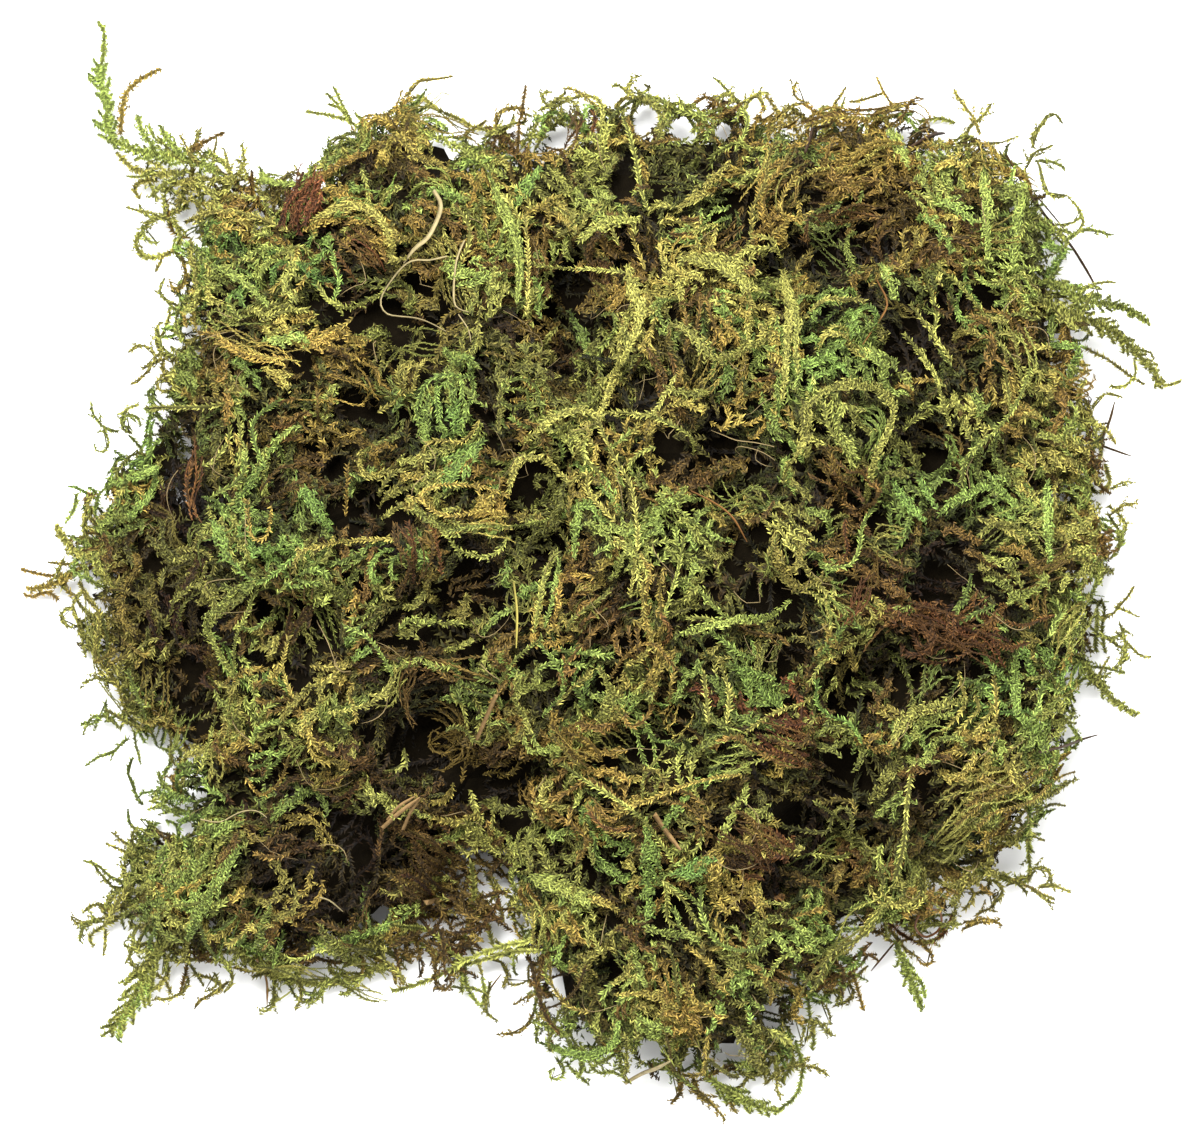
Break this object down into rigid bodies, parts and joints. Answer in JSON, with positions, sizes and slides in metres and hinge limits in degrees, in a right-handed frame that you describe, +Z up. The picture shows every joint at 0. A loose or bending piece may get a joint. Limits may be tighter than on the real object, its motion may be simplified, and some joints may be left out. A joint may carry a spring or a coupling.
{
  "type": "dried moss clump",
  "caption": "Loose clump of dried feather moss lying flat, with trailing fronds and caught twigs and grass; natural filler or ground cover.",
  "frame": {"origin": "middle of the clump's box seen from above, on the surface that it lies on", "axes": "+Z up out of the surface; +X to the right and +Y to the back, as seen from above"},
  "size_m": [0.2366, 0.2228, 0.0663],
  "materials": {
    "moss": "dry leafy moss, olive to brown with green and ochre patches",
    "frond": "dry leafy shoots, light yellow-green",
    "twig": "weathered twig and needle, dark brown",
    "straw": "dry grass and straw, pale tan"
  },
  "bodies": {
    "root": {"tuft_top_left": "moss", "tuft_top_middle": "moss", "tuft_top_right": "moss", "tuft_top_right_corner": "moss", "tuft_upper_left": "moss", "tuft_upper_middle_left": "moss", "tuft_upper_middle": "moss", "tuft_upper_middle_right": "moss", "tuft_upper_right": "moss", "tuft_left": "moss", "tuft_left_flap": "moss", "tuft_middle_left": "moss", "tuft_middle": "moss", "tuft_middle_right": "moss", "tuft_right": "moss", "tuft_lower_left_inner": "moss", "tuft_lower_left": "moss", "tuft_lower_middle": "moss", "tuft_bottom": "moss", "tuft_lower_right": "moss", "frond_top_left": "frond", "wisp_left_upper": "frond", "wisp_left_curly": "frond", "frond_right": "frond", "wisp_right_upper": "frond", "wisp_right_lower": "frond", "frond_bottom_left": "frond", "frond_bottom": "frond", "frond_bottom_right": "frond", "wisp_bottom": "frond", "frond_top_spray": "frond", "wisp_top": "frond", "frond_notch": "frond", "needle_dark": "twig", "needle_brown": "twig", "bark_sliver": "twig", "bark_flake": "twig", "twig_middle": "twig", "twig_right": "twig", "twig_top_right": "twig", "stalk_top": "twig", "grass_blade_tan": "straw", "grass_stem_pale": "straw", "grass_stem_lower_left": "straw", "straw_bottom": "straw"}
  },
  "joints": []
}
